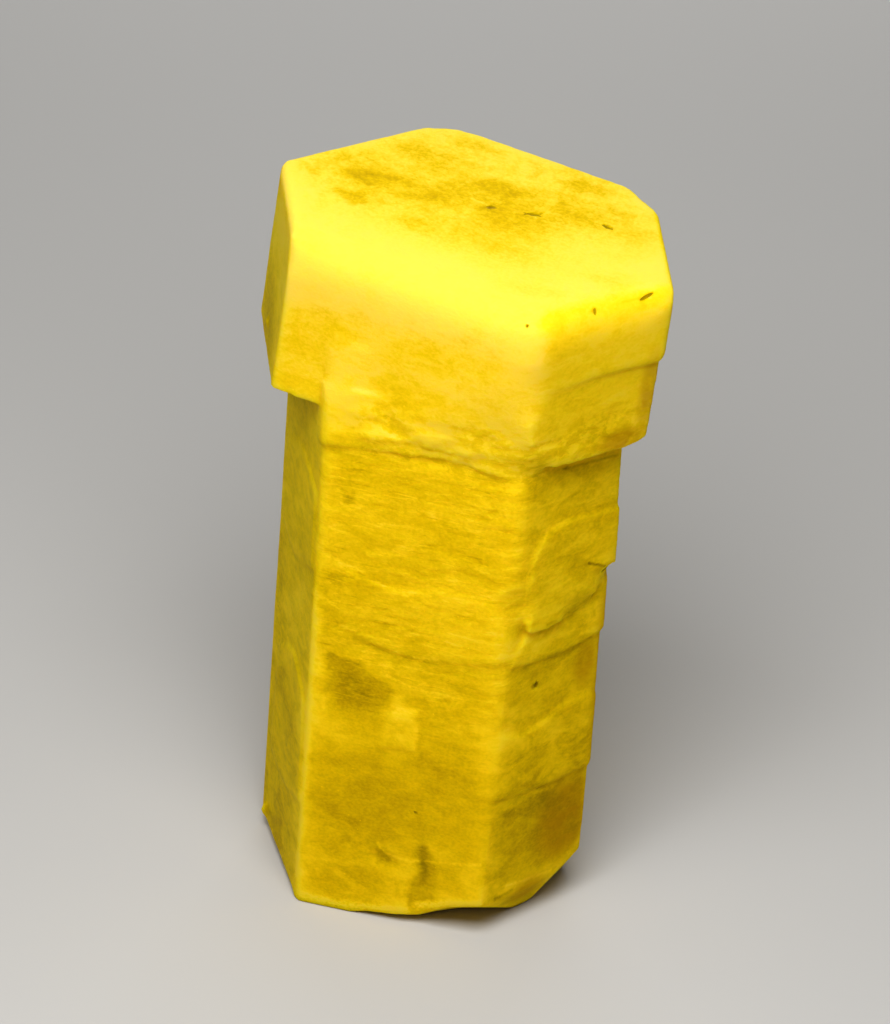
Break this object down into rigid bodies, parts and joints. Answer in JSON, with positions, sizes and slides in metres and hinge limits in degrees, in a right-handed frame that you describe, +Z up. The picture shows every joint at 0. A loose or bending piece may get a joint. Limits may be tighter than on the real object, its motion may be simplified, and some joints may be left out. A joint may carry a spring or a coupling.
{
  "type": "fluorapatite crystal",
  "caption": "Stubby hexagonal mineral crystal: a long cloudy yellow stem with a wider, slightly twisted head, standing on its broken foot. A display specimen or natural prop.",
  "frame": {"origin": "on the resting face, under the middle of the crystal's box", "axes": "+Z up along the stem's long axis, -Y out of the stem's broad front face, +X to the right seen from the front"},
  "size_m": [0.019, 0.0144, 0.0331],
  "materials": {
    "apatite": "satin"
  },
  "bodies": {
    "root": {"crystal": "apatite"}
  },
  "joints": []
}
